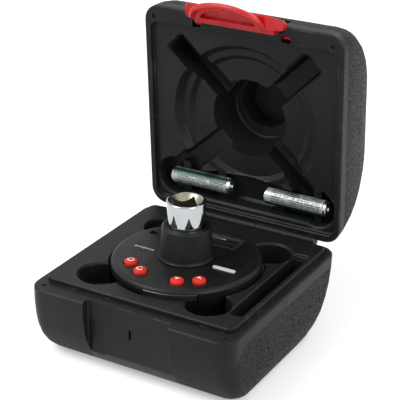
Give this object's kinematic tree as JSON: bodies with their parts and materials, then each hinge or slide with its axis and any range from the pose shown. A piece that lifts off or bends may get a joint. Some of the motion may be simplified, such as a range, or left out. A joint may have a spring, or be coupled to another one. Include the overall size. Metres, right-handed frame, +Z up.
{
  "type": "torque angle gauge",
  "caption": "Round torque and angle gauge with a square drive through it, in a square moulded case with a hinged lid, a fold-down handle and spare cells.",
  "frame": {"origin": "on the floor under the gauge's drive axis", "axes": "+Z up along the drive axis, -Y towards the front of the case, +Y towards its hinge"},
  "size_m": [0.136, 0.1828, 0.1997],
  "materials": {
    "case_black": "matte",
    "lid_black": "matte",
    "pin_steel": "satin",
    "handle_red": "satin",
    "housing_black": "satin",
    "pan_black": "satin",
    "seal_rubber": "matte",
    "door_black": "satin",
    "collar_black": "satin",
    "chrome": "polished",
    "drive_steel": "satin",
    "ball_steel": "polished",
    "bezel_grey": "satin",
    "display_glass": "gloss",
    "display_body": "satin",
    "board_green": "satin",
    "sounder_black": "matte",
    "badge": "satin",
    "switch_metal": "satin",
    "key_red": "gloss",
    "cell_can": "satin",
    "cell_sleeve": "gloss"
  },
  "bodies": {
    "case": {"case_base": "case_black", "hinge_pin": "pin_steel"},
    "lid": {"case_lid": "lid_black"},
    "handle": {"handle": "handle_red"},
    "gauge": {"housing_top": "housing_black", "housing_base": "pan_black", "housing_seal": "seal_rubber", "battery_door": "door_black", "collar": "collar_black", "drive_socket": "chrome", "drive_square": "drive_steel", "display_bezel": "bezel_grey", "display_window": "display_glass", "display_module": "display_body", "circuit_board": "board_green", "sounder": "sounder_black", "badge_plate": "badge", "key_switch_0": "switch_metal", "key_switch_1": "switch_metal", "key_switch_2": "switch_metal", "key_switch_3": "switch_metal"},
    "detent": {"detent_ball": "ball_steel"},
    "key_power": {"button_power": "key_red"},
    "key_reset": {"button_reset": "key_red"},
    "key_down": {"button_down": "key_red"},
    "key_up": {"button_up": "key_red"},
    "spare_cell_left": {"cell_0_can": "cell_can", "cell_0_sleeve": "cell_sleeve"},
    "spare_cell_right": {"cell_1_can": "cell_can", "cell_1_sleeve": "cell_sleeve"}
  },
  "joints": [
    {"name": "lid_hinge", "type": "hinge", "parent": "case", "child": "lid", "pos_m": [0, 0.0689, 0.04775], "axis": [-1, 0, 0], "range_deg": [-87.5, 0]},
    {"name": "handle_swing", "type": "hinge", "parent": "lid", "child": "handle", "pos_m": [0, 0.06746, 0.17691], "axis": [-1, 0, 0], "range_deg": [0, 35]},
    {"name": "gauge_lift", "type": "slide", "parent": "case", "child": "gauge", "axis": [0, 0, 1], "range_m": [0, 0.06]},
    {"name": "detent_press", "type": "slide", "parent": "gauge", "child": "detent", "axis": [0.7071, 0.7071, 0], "range_m": [0, 0.0007], "stiffness_N_per_m": 1500, "springref_m": -0.0007},
    {"name": "press_power", "type": "slide", "parent": "gauge", "child": "key_power", "axis": [0, 0, -1], "range_m": [0, 0.0008], "stiffness_N_per_m": 900, "springref_m": -0.0008},
    {"name": "press_reset", "type": "slide", "parent": "gauge", "child": "key_reset", "axis": [0, 0, -1], "range_m": [0, 0.0008], "stiffness_N_per_m": 900, "springref_m": -0.0008},
    {"name": "press_down", "type": "slide", "parent": "gauge", "child": "key_down", "axis": [0, 0, -1], "range_m": [0, 0.0008], "stiffness_N_per_m": 900, "springref_m": -0.0008},
    {"name": "press_up", "type": "slide", "parent": "gauge", "child": "key_up", "axis": [0, 0, -1], "range_m": [0, 0.0008], "stiffness_N_per_m": 900, "springref_m": -0.0008},
    {"name": "spare_cell_left_out", "type": "slide", "parent": "lid", "child": "spare_cell_left", "axis": [0, -0.999, -0.0436], "range_m": [0, 0.02]},
    {"name": "spare_cell_right_out", "type": "slide", "parent": "lid", "child": "spare_cell_right", "axis": [0, -0.999, -0.0436], "range_m": [0, 0.02]}
  ]
}
